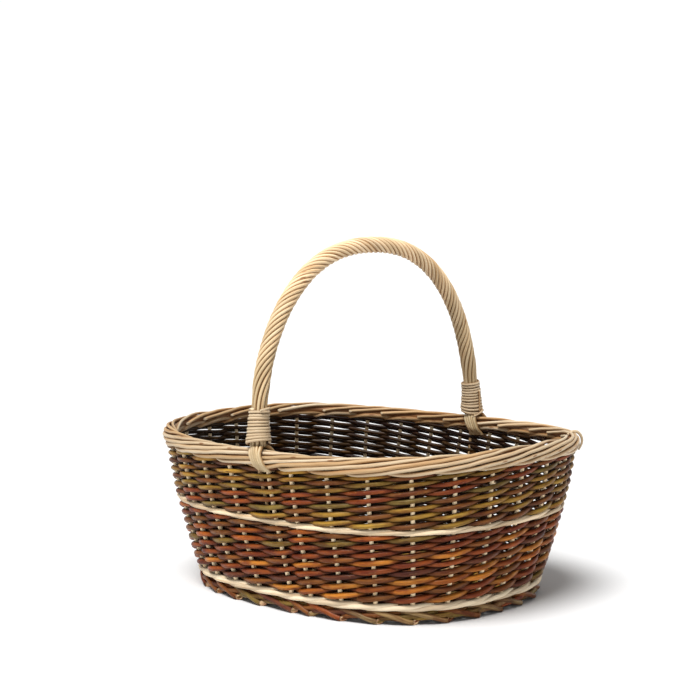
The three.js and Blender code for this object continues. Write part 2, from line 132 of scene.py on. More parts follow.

# Palettes of the bands: weight and colour.
UPPER_PALETTE = [(5.0, OLIVE), (3.2, OCHRE), (3.6, BROWN), (1.0, RUST), (0.4, RED), (1.4, MOSS)]
LOWER_PALETTE = [(3.6, RED), (3.4, RUST), (2.6, ORANGE), (2.6, BROWN), (0.8, OLIVE), (0.8, MOSS),
                 (0.9, PLUM)]
FOOT_PALETTE = [(3.5, BROWN), (2.0, DUSTY), (1.2, MOSS), (1.2, PLUM), (0.8, RED)]
BASE_PALETTE = [(3, BROWN), (2, RED), (2, MOSS), (1.5, OLIVE), (1, PLUM)]

# -------------------------------------------------- wall and hoop


def signed_power(value, power):
    return np.sign(value) * np.abs(value) ** power


def even_table(x, y):
    """Share of the length passed at each point of a curve."""
    steps = np.hypot(np.diff(x), np.diff(y))
    passed = np.concatenate([[0.0], np.cumsum(steps)])
    return passed / passed[-1]


OVAL_ANGLES = np.linspace(0, 2 * math.pi, 5761)
OVAL_TURNS = even_table(
    RIM_HALF_LENGTH * signed_power(np.cos(OVAL_ANGLES), OVAL_POWER),
    RIM_HALF_WIDTH * signed_power(np.sin(OVAL_ANGLES), OVAL_POWER),
)


def wall(turn, height, depth):
    """Points of the wall, and the level outward direction at each."""
    turn, height, depth = np.broadcast_arrays(
        np.asarray(turn, float), np.asarray(height, float), np.asarray(depth, float))
    angle = np.interp(turn % 1.0, OVAL_TURNS, OVAL_ANGLES)
    cos, sin = np.cos(angle), np.sin(angle)
    drop = np.clip(1 - height / BORDER_MIDDLE, 0, None) ** FLARE_EXPONENT
    half_length = RIM_HALF_LENGTH - LENGTH_FLARE * drop
    half_width = RIM_HALF_WIDTH - WIDTH_FLARE * drop
    out_x = signed_power(cos, 2 - OVAL_POWER) / half_length
    out_y = signed_power(sin, 2 - OVAL_POWER) / half_width
    size = np.hypot(out_x, out_y)
    outward = np.stack([out_x / size, out_y / size, np.zeros_like(size)], -1)
    lift = RIM_RISE * cos ** 2 * (height / BORDER_MIDDLE) ** 2
    base = np.stack([
        half_length * signed_power(cos, OVAL_POWER),
        half_width * signed_power(sin, OVAL_POWER),
        height + lift,
    ], -1)
    return base + outward * depth[..., None], outward


BESIDE_FOOT = math.ceil(NEAR_TURN * STAKE_COUNT - STAKE_PHASE)


def stake_turn(stake, height):
    """Where a stake stands at a height, for whole and part counts of stakes alike."""
    stake, height = np.asarray(stake, float), np.asarray(height, float)
    near = np.clip(1 - np.abs((stake - BESIDE_FOOT + 15) % STAKE_COUNT - 15), 0, 1)
    lean = STAKE_LEAN * np.clip(1 - height / BORDER_BASE, 0, None)
    return (stake + STAKE_PHASE + STAKE_ASIDE * near + lean) / STAKE_COUNT


HOOP_ANGLES = np.linspace(0, math.pi, 4001)
hoop_rise = np.sin(HOOP_ANGLES) ** HOOP_POWER
hoop_y = -RIM_HALF_WIDTH * signed_power(np.cos(HOOP_ANGLES), HOOP_POWER)
HOOP_LINE = np.stack([0 * hoop_y + HOOP_OFFSET, hoop_y, HOOP_SPRING + HOOP_RISE * hoop_rise], -1)
HOOP_RUNS = np.concatenate([[0.0], np.cumsum(np.linalg.norm(np.diff(HOOP_LINE, axis=0), axis=1))])
HOOP_LENGTH = HOOP_RUNS[-1]
HOOP_SIDE = np.array([1.0, 0.0, 0.0])
BINDING_START = BORDER_BASE + BORDER_HEIGHT - HOOP_SPRING + BINDING_LIFT
BINDING_END = BINDING_START + BINDING_LENGTH


def hoop_centre(run):
    line = np.stack([np.interp(run, HOOP_RUNS, HOOP_LINE[:, k]) for k in range(3)], -1)
    near = np.clip(1 - (run - BINDING_START) / NEAR_STEP_REACH, 0, 1)
    line[..., 0] += NEAR_STEP * near ** 2 * (3 - 2 * near)
    return line


def hoop(run, radius, angle):
    """Points round the handle's centre line, and the direction away from it at each."""
    run, radius, angle = np.broadcast_arrays(
        np.asarray(run, float), np.asarray(radius, float), np.asarray(angle, float))
    probe = 1.5 * MM
    tangent = hoop_centre(run + probe) - hoop_centre(run - probe)
    tangent /= np.linalg.norm(tangent, axis=-1, keepdims=True)
    outward = np.cross(np.broadcast_to(HOOP_SIDE, tangent.shape), tangent)
    away = outward * np.cos(angle)[..., None] + HOOP_SIDE * np.sin(angle)[..., None]
    return hoop_centre(run) + away * radius[..., None], away


# -------------------------------------------------- rods into meshes


def wobble(positions, size, wavelength, seed):
    """A smooth, repeatable wander of the given size along a rod."""
    parts = random.Random(seed)
    total = np.zeros_like(np.asarray(positions, float))
    for octave in (1.0, 2.3, 4.1):
        phase = parts.uniform(0, 2 * math.pi)
        total += np.sin(2 * math.pi * octave * positions / wavelength + phase) / octave
    return size * total / 1.7


def taper_colour(start, end, count):
    """Colours along a rod, from its start to its end."""
    share = np.linspace(0, 1, count)[:, None]
    return np.asarray(start) * (1 - share) + np.asarray(end) * share


# Painted shade: how much of its colour bark keeps at a depth (mm) in the wall, painted dark
# in the recesses and inside the basket where shade falls, unshaded on the outer faces.
PAINTED_SHADE_DEPTHS = [-6.5, -4.0, -2.0, 0.0, 2.0, 4.2]
PAINTED_SHADE_KEPT = [0.09, 0.07, 0.05, 0.24, 0.72, 1.0]
PAINTED_SHADE_WARMTH = np.array([1.0, 1.15, 1.4])    # powers of the three channels

# How open a rod is to the light, by the cosine of the angle round from its outer side. The
# groove colours paint shade on what is not open.
GROOVE_SIDES = [0.0, 0.40, 0.80]
GROOVE_OPEN = [0.0, 0.45, 1.0]

CUT_FACE = 0.82      # radius of a cut end's face, as a share of the rod's
CUT_BULGE = 0.10     # how far the face stands out past the bevel, as a share of the radius


class Bundle:
    """Rods gathered into one mesh, with the attributes that the willow materials read."""

    def __init__(self):
        self.points, self.colours, self.grain = [], [], []
        self.quads, self.triangles = [], []
        self.count = 0
        self.rods = 0

    def _store(self, points, colours, grain):
        start = self.count
        self.points.append(points)
        self.colours.append(colours)
        self.grain.append(grain)
        self.count += len(points)
        return start

    def rod(self, centres, aside, radii, colours, sides=10, cut=PITH, slant=(0, 0),
            depths=None, groove_shade=None):
        """One round rod with closed ends. aside is a direction across the rod; it, the radii and
        the colours are one for the whole rod or one for each station. slant is how far each end's
        cut face leans towards aside. With depths given, the rod's colour gets painted shade where
        it lies deep in the wall and on the inside of the basket. With a groove shade colour given,
        all but the side towards aside is multiplied by it, as painted shade between rods."""
        centres = np.asarray(centres, float)
        count = len(centres)
        radii = np.broadcast_to(np.asarray(radii, float), (count,))
        colours = np.broadcast_to(np.asarray(colours, float), (count, 3))
        tangent = np.gradient(centres, axis=0)
        tangent /= np.linalg.norm(tangent, axis=1, keepdims=True)
        across = np.asarray(aside, float) - tangent * np.sum(aside * tangent, 1, keepdims=True)
        across /= np.linalg.norm(across, axis=1, keepdims=True)
        other = np.cross(tangent, across)
        lengths = np.linalg.norm(np.diff(centres, axis=0), axis=1)
        along = np.concatenate([[0.0], np.cumsum(lengths)])
        angles = 2 * math.pi * np.arange(sides) / sides
        cos, sin = np.cos(angles), np.sin(angles)
        self.rods += 1
        shift = np.array([1.7 * self.rods, 0.31 * self.rods, 0.0])

        def ring(i, scale, ahead=0.0, lean=0.0):
            radius = radii[i] * scale
            offset = np.outer(cos * radius, across[i]) + np.outer(sin * radius, other[i])
            forward = ahead + lean * cos * radius
            at = centres[i] + offset + np.outer(forward, tangent[i])
            place = np.stack([along[i] + forward, cos * radius, sin * radius], -1)
            return at, place + shift

        ends = []
        for end, i, sign in ((0, 0, -1.0), (1, count - 1, 1.0)):
            lean = -sign * slant[end]
            rim = ring(i, 1.0, 0.0, lean)
            face = ring(i, CUT_FACE, sign * radii[i] * CUT_BULGE, lean)
            middle = (
                (centres[i] + tangent[i] * sign * radii[i] * CUT_BULGE)[None],
                (np.array([along[i], 0, 0]) + shift)[None],
            )
            ends.append((rim, face, middle))

        offset = (cos[None, :, None] * across[:, None, :]
                  + sin[None, :, None] * other[:, None, :])
        body = centres[:, None, :] + offset * radii[:, None, None]
        place = np.stack([
            np.broadcast_to(along[:, None], (count, sides)),
            radii[:, None] * cos[None, :],
            radii[:, None] * sin[None, :],
        ], -1) + shift
        body[0], place[0] = ends[0][0]
        body[-1], place[-1] = ends[1][0]
        tints = np.repeat(colours, sides, axis=0)
        if depths is not None:
            # painted shade: the colour is darkened by how deep each point lies in the wall
            at = np.asarray(depths)[:, None] + radii[:, None] * (2.4 * cos[None, :] - 1.4)
            light = np.interp(at / MM, PAINTED_SHADE_DEPTHS, PAINTED_SHADE_KEPT)
            tints = tints * light.reshape(-1, 1) ** PAINTED_SHADE_WARMTH
        if groove_shade is not None:
            # painted shade between rods: all but the open side takes the groove colour
            open_share = np.tile(np.interp(cos, GROOVE_SIDES, GROOVE_OPEN), count)[:, None]
            tints = tints * (open_share + (1 - open_share) * np.asarray(groove_shade))
        start = self._store(body.reshape(-1, 3), tints, place.reshape(-1, 3))

        near = np.arange(sides)
        far = (near + 1) % sides
        rows = start + np.arange(count - 1)[:, None] * sides
        quads = np.stack([rows + near, rows + far, rows + sides + far, rows + sides + near], -1)
        self.quads.append(quads.reshape(-1, 4))
        pale = np.broadcast_to(np.asarray(cut, float), (sides + 1, 3))
        for (_, face, middle), rim_start, flip in (
                (ends[0], start, True), (ends[1], start + (count - 1) * sides, False)):
            cap = self._store(np.concatenate([face[0], middle[0]]), pale,
                              np.concatenate([face[1], middle[1]]))
            bevel = np.stack([rim_start + near, rim_start + far, cap + far, cap + near], -1)
            fan = np.stack([cap + near, cap + far, np.full(sides, cap + sides)], -1)
            self.quads.append(bevel[:, ::-1] if flip else bevel)
            self.triangles.append(fan[:, ::-1] if flip else fan)

    def build(self, name, material):
        quads = np.concatenate(self.quads)
        triangles = np.concatenate(self.triangles)
        mesh = bpy.data.meshes.new(name)
        points = np.concatenate(self.points)
        corners = np.concatenate([quads.ravel(), triangles.ravel()]).astype(np.int32)
        starts = np.concatenate([
            np.arange(len(quads)) * 4,
            len(quads) * 4 + np.arange(len(triangles)) * 3,
        ]).astype(np.int32)
        mesh.vertices.add(len(points))
        mesh.loops.add(len(corners))
        mesh.polygons.add(len(starts))
        mesh.vertices.foreach_set("co", points.astype(np.float32).ravel())
        mesh.loops.foreach_set("vertex_index", corners)
        mesh.polygons.foreach_set("loop_start", starts)
        mesh.update(calc_edges=True)
        mesh.validate()
        mesh.shade_smooth()
        # the tint holds each rod's colour with its painted shade and painted light multiplied in
        tint = mesh.attributes.new("tint", "FLOAT_COLOR", "POINT")
        rgba = np.concatenate([np.concatenate(self.colours), np.ones((self.count, 1))], 1)
        tint.data.foreach_set("color", rgba.astype(np.float32).ravel())
        grain = mesh.attributes.new("grain", "FLOAT_VECTOR", "POINT")
        grain.data.foreach_set("vector", np.concatenate(self.grain).astype(np.float32).ravel())
        mesh.materials.append(material)
        piece = bpy.data.objects.new(name, mesh)
        bpy.context.scene.collection.objects.link(piece)
        return piece


def finish_piece(bundle, name, material, slot, *nodes):
    """The bundle as a piece that rides on the basket and stands for the CAD nodes."""
    piece = bundle.build(name, material)
    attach(piece, "root")
    if nodes:
        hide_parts(*nodes)
    return piece


# -------------------------------------------------- materials


class Nodes:
    """Short calls for building a material's nodes."""

    def __init__(self, name):
        self.material = bpy.data.materials.new(name)
        self.material.use_nodes = True
        self.tree = self.material.node_tree
        self.shader = self.tree.nodes["Principled BSDF"]

    def link(self, source, target):
        self.tree.links.new(source, target)

    def attribute(self, name, output):
        node = self.tree.nodes.new("ShaderNodeAttribute")
        node.attribute_name = name
        return node.outputs[output]

    def stretched(self, vector, along, across):
        node = self.tree.nodes.new("ShaderNodeMapping")
        node.inputs["Scale"].default_value = (along, across, across)
        self.link(vector, node.inputs["Vector"])
        return node.outputs[0]

    def noise(self, vector, detail=2.0, roughness=0.5):
        node = self.tree.nodes.new("ShaderNodeTexNoise")
        node.inputs["Scale"].default_value = 1.0
        node.inputs["Detail"].default_value = detail
        node.inputs["Roughness"].default_value = roughness
        self.link(vector, node.inputs["Vector"])
        return node.outputs[0]

    def cells(self, vector):
        node = self.tree.nodes.new("ShaderNodeTexVoronoi")
        node.inputs["Scale"].default_value = 1.0
        self.link(vector, node.inputs["Vector"])
        return node.outputs["Distance"]

    def span(self, value, low, high, to_low=0.0, to_high=1.0):
        node = self.tree.nodes.new("ShaderNodeMapRange")
        node.interpolation_type = "SMOOTHSTEP"
        ends = (("From Min", low), ("From Max", high), ("To Min", to_low), ("To Max", to_high))
        for key, number in ends:
            node.inputs[key].default_value = number
        self.link(value, node.inputs["Value"])
        return node.outputs[0]

    def math(self, kind, a, b):
        node = self.tree.nodes.new("ShaderNodeMath")
        node.operation = kind
        for socket, value in zip(node.inputs, (a, b)):
            if isinstance(value, (int, float)):
                socket.default_value = value
            else:
                self.link(value, socket)
        return node.outputs[0]

    def mix(self, kind, factor, a, b):
        node = self.tree.nodes.new("ShaderNodeMix")
        node.data_type = "RGBA"
        node.blend_type = kind
        for socket, value in ((node.inputs[0], factor), (node.inputs[6], a), (node.inputs[7], b)):
            if isinstance(value, (int, float)):
                socket.default_value = value
            elif isinstance(value, tuple):
                socket.default_value = (*value, 1.0)
            else:
                self.link(value, socket)
        return node.outputs[2]

    def bump(self, height, distance, strength):
        node = self.tree.nodes.new("ShaderNodeBump")
        node.inputs["Distance"].default_value = distance
        node.inputs["Strength"].default_value = strength
        self.link(height, node.inputs["Height"])
        self.link(node.outputs[0], self.shader.inputs["Normal"])


def peeled_material():
    """Buff willow: stripped rods with fine lengthwise grain, tan streaks and small bud scars."""
    n = Nodes("peeled_willow")
    grain = n.attribute("grain", "Vector")
    tint = n.attribute("tint", "Color")
    fibres = n.noise(n.stretched(grain, 45, 1500), 3.0, 0.6)
    streaks = n.noise(n.stretched(grain, 14, 420), 2.0)
    patches = n.noise(n.stretched(grain, 11, 60), 2.0)
    scars = n.cells(n.stretched(grain, 24, 115))
    colour = n.mix("MULTIPLY", n.span(streaks, 0.52, 0.74, 0.0, 0.75), tint, (0.74, 0.55, 0.36))
    colour = n.mix("MIX", n.span(patches, 0.50, 0.75, 0.0, 0.35), colour, BUFF_PALE)
    colour = n.mix("MULTIPLY", n.span(fibres, 0.30, 0.65, 0.50, 0.0), colour, (0.72, 0.58, 0.42))
    colour = n.mix("MULTIPLY", n.span(scars, 0.05, 0.12, 0.85, 0.0), colour, (0.42, 0.22, 0.10))
    n.link(colour, n.shader.inputs["Base Color"])
    n.link(n.span(streaks, 0.3, 0.7, 0.42, 0.60), n.shader.inputs["Roughness"])
    n.shader.inputs["Specular IOR Level"].default_value = 0.30
    n.bump(n.math("ADD", fibres, n.math("MULTIPLY", streaks, 0.6)), 0.25 * MM, 0.35)
    return n.material


def bark_material(name, gloss, dust):
    """Unpeeled willow: satin bark, darker and redder in patches, with pale lenticels and scuffs."""
    n = Nodes(name)
    grain = n.attribute("grain", "Vector")
    tint = n.attribute("tint", "Color")
    patches = n.noise(n.stretched(grain, 34, 130), 3.0, 0.65)
    streaks = n.noise(n.stretched(grain, 30, 620), 2.0)
    wrinkles = n.noise(n.stretched(grain, 260, 420), 3.0, 0.6)
    lenticels = n.cells(n.stretched(grain, 130, 520))
    buds = n.cells(n.stretched(grain, 26, 150))
    scuffs = n.noise(n.stretched(grain, 60, 240), 3.0, 0.7)
    colour = n.mix("MULTIPLY", n.span(patches, 0.40, 0.64, 0.0, 0.9), tint, (0.46, 0.27, 0.22))
    colour = n.mix("MULTIPLY", n.span(streaks, 0.34, 0.50, 0.55, 0.0), colour, (0.50, 0.40, 0.34))
    colour = n.mix("DODGE", n.span(patches, 0.30, 0.46, 0.28, 0.0), colour, (0.50, 0.38, 0.08))
    colour = n.mix("MIX", n.span(lenticels, 0.08, 0.16, 0.45, 0.0), colour, (0.38, 0.22, 0.08))
    colour = n.mix("MULTIPLY", n.span(buds, 0.05, 0.12, 0.8, 0.0), colour, (0.30, 0.18, 0.14))
    colour = n.mix("MIX", n.span(scuffs, 0.60, 0.74, 0.0, dust), colour, (0.32, 0.17, 0.07))
    n.link(colour, n.shader.inputs["Base Color"])
    n.link(n.span(patches, 0.3, 0.7, gloss, gloss + 0.16), n.shader.inputs["Roughness"])
    n.shader.inputs["Specular IOR Level"].default_value = 0.18
    n.bump(n.math("ADD", wrinkles, n.math("MULTIPLY", streaks, 0.5)), 0.3 * MM, 0.35)
    return n.material


PEELED = peeled_material()
OLIVE_BARK = bark_material("olive_bark", 0.36, 0.30)
RED_BARK = bark_material("red_bark", 0.34, 0.30)
FOOT_BARK = bark_material("foot_bark", 0.40, 0.35)
BASE_BARK = bark_material("base_bark", 0.50, 0.45)


def varied(colour, source, spread=0.14):
    """A rod's own shade of a colour."""
    light = 1 + source.uniform(-spread, spread)
    warm = source.uniform(-spread, spread) * 0.4
    return tuple(channel * light * (1 + warm * side) for channel, side in zip(colour, (1, 0, -1)))


def pick(palette, source):
    """A colour from a list of (weight, colour)."""
    aim = source.uniform(0, sum(weight for weight, _ in palette))
    for weight, colour in palette:
        aim -= weight
        if aim <= 0:
            break
    return varied(colour, source)


# -------------------------------------------------- siding

STATIONS = 12            # along a weaver, from one stake to the next
SIDING_PIECES = 6
WEAVER_TUCK = 0.46       # how far a weaver's ends run past the stakes that they lie behind
BEDDING = 0.78           # share of a weaver's radius that clears the stake that it passes
STROKE_SWELL = 0.07      # a weaver is pressed fuller where it passes in front of a stake
STROKE_SLANT = 0.10
STROKE_SHAPE = 0.95      # under 1, a weaver's strokes are flatter in the middle
CLIMB_BOW = 0.10         # a weaver climbs faster at its thick end
LEVEL_WANDER = 0.42 * MM
DEPTH_WANDER = 0.35 * MM
BESIDE_BOW = (0.66, 0.93)    # share of the way to the next stake, and of the pattern, by there


def pass_position(stakes, beside_feet):
    """Where a weaver is in its over-and-under pattern. Beside the near foot it passes the bow's
    end and the stake after it together."""
    stakes = np.asarray(stakes, float)
    if not beside_feet:
        return stakes
    wrapped = stakes % STAKE_COUNT
    low = BESIDE_FOOT - 1
    place, pattern = BESIDE_BOW
    squeezed = np.interp(wrapped, [low, low + place, low + 1], [low, low + pattern, low + 1])
    inside = (wrapped > low) & (wrapped < low + 1)
    return np.where(inside, squeezed, wrapped) + (stakes - wrapped)


def weaver(bundle, start, bottom, top, strokes, radii, colour, source, beside_feet):
    """One weaver of a French-randed band. It starts behind a stake at the band's foot, climbs
    evenly as it goes in front of one stake and behind the next, and ends inside at the top."""
    low, high = start - WEAVER_TUCK, start + strokes + WEAVER_TUCK
    count = int((high - low) * STATIONS)
    stakes = np.linspace(low, high, count)
    seed = source.randrange(1 << 20)
    butt, tip = radii
    share = np.clip((stakes - start) / strokes, 0, 1)
    thick = (butt + (tip - butt) * share) * (1 + wobble(stakes, 0.04, 1.7, seed + 2))
    climb = share * (1 + CLIMB_BOW * (1 - share))
    level = bottom - 0.2 * butt + (top - bottom + 0.2 * butt + 0.2 * tip) * climb
    level += wobble(stakes, LEVEL_WANDER, 5.0, seed + 1)
    swing = -np.cos(math.pi * (pass_position(stakes, beside_feet) - start))
    thick *= 1 + STROKE_SWELL * swing
    reach = STAKE_RADIUS + thick * BEDDING
    depth = reach * signed_power(swing, STROKE_SHAPE) + wobble(stakes, DEPTH_WANDER, 3.3, seed)
    level += STROKE_SLANT * thick * np.sin(2 * math.pi * (stakes - start))
    points, outward = wall(stake_turn(stakes, level), level, depth)
    end = varied(colour, source, 0.12)
    # the depths paint shade on the weaver where it lies deep in the wall and inside the basket
    bundle.rod(points, outward, thick, taper_colour(colour, end, count), 10, BROWN_PITH,
               (source.uniform(0.3, 1.2), source.uniform(0.3, 1.2)), depth)


def siding(name, material, slot, node, span, strokes, radii, palette, source, beside_feet):
    """A band of weavers, one starting at each stake, split so that each piece gets texture."""
    for part in range(SIDING_PIECES):
        bundle = Bundle()
        for start in range(part, STAKE_COUNT, SIDING_PIECES):
            weaver(bundle, start, *span, strokes, radii, pick(palette, source), source, beside_feet)
        finish_piece(bundle, f"{name}_{part + 1}", material, slot, node)


def make_upper_siding():
    siding("upper_weavers", OLIVE_BARK, "olive_willow", "upper_siding", (UPPER_BASE, BORDER_BASE),
           UPPER_STROKES, UPPER_WEAVER, UPPER_PALETTE, random.Random(11), True)


def make_lower_siding():
    siding("lower_weavers", RED_BARK, "red_willow", "lower_siding", (LOWER_BASE, WAIST_BASE),
           LOWER_STROKES, LOWER_WEAVER, LOWER_PALETTE, random.Random(23), False)


# -------------------------------------------------- wales

WALE_RODS = 3
WALE_BEDDING = 0.92
# Over one pattern of three stakes: how far out the rod is, and how high, in rod radii.
WALE_KNOTS = np.array([0, 0.5, 1.0, 1.5, 2.0, 2.5, 3.0]) / WALE_RODS
WALE_SWING = [1, 1.03, 1, 0.1, -1, -0.1, 1]
WALE_RISE = [-0.65, -0.2, 0.35, 0.85, 0.35, -0.85, -0.65]


def wale(bundle, middle, rod_radius, source, colours):
    """Three weavers, each in front of two stakes and behind one, rising as it goes in front."""
    blur = np.ones(7) / 7
    for strand in range(WALE_RODS):
        start = strand + 0.3 + WALE_RODS * source.randrange(0, 9)
        low, high = start - 0.5, start + STAKE_COUNT + 0.6
        count = int((high - low) * STATIONS)
        stakes = np.linspace(low, high, count)
        cycle = ((stakes - strand) % WALE_RODS) / WALE_RODS
        reach = STAKE_RADIUS + rod_radius * WALE_BEDDING
        swing, rise = (
            np.convolve(np.pad(np.interp(cycle, WALE_KNOTS, course), 3, mode="edge"), blur, "valid")
            for course in (WALE_SWING, WALE_RISE)
        )
        seed = source.randrange(1 << 20)
        level = middle + rise * rod_radius + wobble(stakes, 0.2 * MM, 6.0, seed)
        thick = rod_radius * (1 + wobble(stakes, 0.05, 3.1, seed + 1))
        points, outward = wall(stake_turn(stakes, level), level, reach * swing)
        shade = varied(colours[strand % len(colours)], source, 0.06)
        bundle.rod(points, outward, thick, taper_colour(shade, varied(shade, source, 0.05), count),
                   12, PITH, (1.0, 1.4))


def make_wales():
    source = random.Random(31)
    bundle = Bundle()
    wale(bundle, (FOOT_TOP + LOWER_BASE) / 2, FOOT_WALE_ROD, source,
         [WALE_PALE, WALE_PALE, BUFF_PALE])
    finish_piece(bundle, "foot_wale_rods", PEELED, "peeled_willow", "foot_wale")
    bundle = Bundle()
    wale(bundle, (WAIST_BASE + UPPER_BASE) / 2, WAIST_ROD, source, [BUFF_PALE, BUFF, WALE_PALE])
    finish_piece(bundle, "waist_wale_rods", PEELED, "peeled_willow", "waist_wale")


# -------------------------------------------------- stakes and border

STAKE_FOOT = 6 * MM
STAKE_HEAD = 1.5 * MM    # how far a stake runs up into the border before it turns into a border rod
STAKE_PROUD = 1.0 * MM
STAKE_STATIONS = 40
STAKES_A_PIECE = 10


def make_stakes():
    source = random.Random(41)
    names = [f"side_stake_{i + 1:02d}" for i in range(STAKE_COUNT)]
    for first in range(0, STAKE_COUNT, STAKES_A_PIECE):
        bundle = Bundle()
        for stake in range(first, first + STAKES_A_PIECE):
            heights = np.linspace(STAKE_FOOT, BORDER_BASE + STAKE_HEAD, STAKE_STATIONS)
            seed = source.randrange(1 << 20)
            turn = stake_turn(stake + wobble(heights, 0.012, 0.09, seed), heights)
            depth = wobble(heights, 0.3 * MM, 0.05, seed + 1) + STAKE_PROUD
            points, outward = wall(turn, heights, depth)
            radii = STAKE_RADIUS * np.linspace(1.08, 0.96, STAKE_STATIONS)
            # painted light: a stake's colour is brighter than peeled willow
            shade = varied(STAKE_PAINTED_LIGHT, source, 0.06)
            bundle.rod(points, outward, radii, shade, 12)
        finish_piece(bundle, f"side_stakes_{first // STAKES_A_PIECE + 1}", PEELED, "peeled_willow",
                     *names[first:first + STAKES_A_PIECE])


# Path of a border rod after it leaves its stake: stakes passed, depth and height in millimetres
# from the border's middle. It goes behind the next stake, comes out low, sweeps up the outside,
# crosses over the top and ends inside.
BORDER_PATH = [
    (0.00, 0.0, -9.5), (0.06, 0.0, -6.0), (0.30, -1.6, -3.4), (1.00, -4.4, -3.6),
    (1.40, -1.5, -6.6), (1.74, 3.6, -8.4), (2.15, 6.2, -7.6), (2.75, 7.1, -4.6),
    (3.60, 7.0, -1.0), (4.40, 6.2, 2.4), (5.10, 4.2, 5.0), (5.70, 1.0, 6.2),
    (6.30, -3.0, 5.2), (6.90, -5.8, 2.6), (7.40, -6.8, 0.2),
]

# A rod's loose end that curls out over the border and hangs down: steps along, depth and height.
BORDER_CURL = [
    (0.0, -3.0, 4.0), (1.0, 2.5, 7.4), (2.0, 8.0, 6.6), (3.0, 12.0, 1.6), (4.0, 12.8, -5.0),
    (5.0, 10.6, -12.0),
]
CURL_TURN = 0.094
CURL_STEP = 0.0012
CURL_STATIONS = 40
BORDER_PIECES = 5
BORDER_STATIONS = 120
BORDER_CORE = 4.3 * MM
CORE_STATIONS = 361


def smooth_path(knots, count):
    """Points of a Catmull-Rom curve through the knots, evenly in its first coordinate."""
    knots = np.asarray(knots, float)
    slopes = np.gradient(knots, axis=0) / np.gradient(knots[:, 0])[:, None]
    at = np.linspace(knots[0, 0], knots[-1, 0], count)
    i = np.clip(np.searchsorted(knots[:, 0], at, side="right") - 1, 0, len(knots) - 2)
    width = (knots[i + 1, 0] - knots[i, 0])[:, None]
    t = ((at - knots[i, 0])[:, None]) / width
    a, b = knots[i], knots[i + 1]
    return ((2 * t ** 3 - 3 * t ** 2 + 1) * a + (t ** 3 - 2 * t ** 2 + t) * width * slopes[i]
            + (3 * t ** 2 - 2 * t ** 3) * b + (t ** 3 - t ** 2) * width * slopes[i + 1])


def border_core(bundle):
    """The rods' inner runs, gathered into one ring that closes the border's middle."""
    lap = np.linspace(0, 1, CORE_STATIONS)
    points, outward = wall(lap, BORDER_MIDDLE - 0.6 * MM, 0.0)
    # painted shade: the core's tan is darkened by the groove shade, as it lies down among the rods
    bundle.rod(points, outward, BORDER_CORE, np.multiply(BUFF_TAN, GROOVE_PAINTED_SHADE), 10)


def border_curl(bundle):
    """The loose rod end that curls out over the border."""
    path = smooth_path(BORDER_CURL, CURL_STATIONS)
    turn = CURL_TURN + CURL_STEP * path[:, 0]
    points, outward = wall(turn, BORDER_MIDDLE + path[:, 2] * MM, path[:, 1] * MM)
    bundle.rod(points, outward, np.linspace(2.0, 1.2, CURL_STATIONS) * MM, BUFF, 10)


def make_border():
    source = random.Random(53)
    for part in range(BORDER_PIECES):
        bundle = Bundle()
        for stake in range(part, STAKE_COUNT, BORDER_PIECES):
            knots = np.array(BORDER_PATH)
            stretch = source.uniform(0.97, 1.04)
            knots[4:, 0] = 1 + (knots[4:, 0] - 1) * stretch
            path = smooth_path(knots, BORDER_STATIONS)
            seed = source.randrange(1 << 20)
            depth = path[:, 1] * MM + wobble(path[:, 0], 0.55 * MM, 3.0, seed)
            height = BORDER_MIDDLE + path[:, 2] * MM + wobble(path[:, 0], 0.60 * MM, 2.6, seed + 1)
            points, outward = wall(stake_turn(stake + path[:, 0], height), height, depth)
            radii = BORDER_ROD * np.linspace(1.04, 0.80, BORDER_STATIONS)
            radii = radii * source.uniform(0.88, 1.12)
            radii = radii * (1 + wobble(path[:, 0], 0.05, 1.9, seed + 2))
            away = outward * (path[:, 1:2] + 0.5) + UP * path[:, 2:3]
            shade = varied(source.choice([BUFF, BUFF, BUFF_PALE, BUFF_TAN]), source, 0.07)
            colours = taper_colour(shade, varied(shade, source, 0.06), BORDER_STATIONS)
            # painted shade on the rod's sides where it lies against its neighbours
            bundle.rod(points, away, radii, colours, 12, PITH, (0, 1.2), groove_shade=SOFT_GROOVE_PAINTED_SHADE)
        if part == 0:
            border_core(bundle)
            border_curl(bundle)
        finish_piece(bundle, f"border_rods_{part + 1}", PEELED, "peeled_willow", "rolled_border")


# -------------------------------------------------- foot

# Paths of the foot's plaited rods: stakes passed, depth and height in millimetres. The first
# comes down in front and ends in a cut at the scallop's point; the second rises from under it
# and goes up behind the wale; the third dips to the floor at the point.
FOOT_DESCENDER = [(-0.30, -2.0, 12.4), (0.10, 3.8, 11.8), (0.50, 6.0, 8.4), (0.82, 7.0, 4.6),
                  (1.02, 7.2, 2.6)]
FOOT_RISER = [(0.66, -3.5, 7.4), (0.92, 0.8, 6.6), (1.15, 4.4, 6.8), (1.60, 5.2, 8.0),
              (2.10, 4.2, 9.8), (2.50, 0.5, 11.4), (2.80, -3.0, 11.8)]
FOOT_RUNNER = [(-0.10, -2.5, 8.6), (0.28, 3.0, 8.6), (0.65, 5.2, 5.6), (0.98, 5.6, 2.6),
               (1.18, 2.0, 5.2), (1.50, -3.0, 8.0)]
FOOT_STATIONS = 48
FLOOR_GAP = 0.05 * MM
# Piece, path, radius, and how far the rod's cut end slants.
FOOT_RODS = [
    ("foot_descenders", FOOT_DESCENDER, 2.9 * MM, 1.9),
    ("foot_risers", FOOT_RISER, 2.7 * MM, 0.6),
    ("foot_runners", FOOT_RUNNER, 2.4 * MM, 0.6),
]


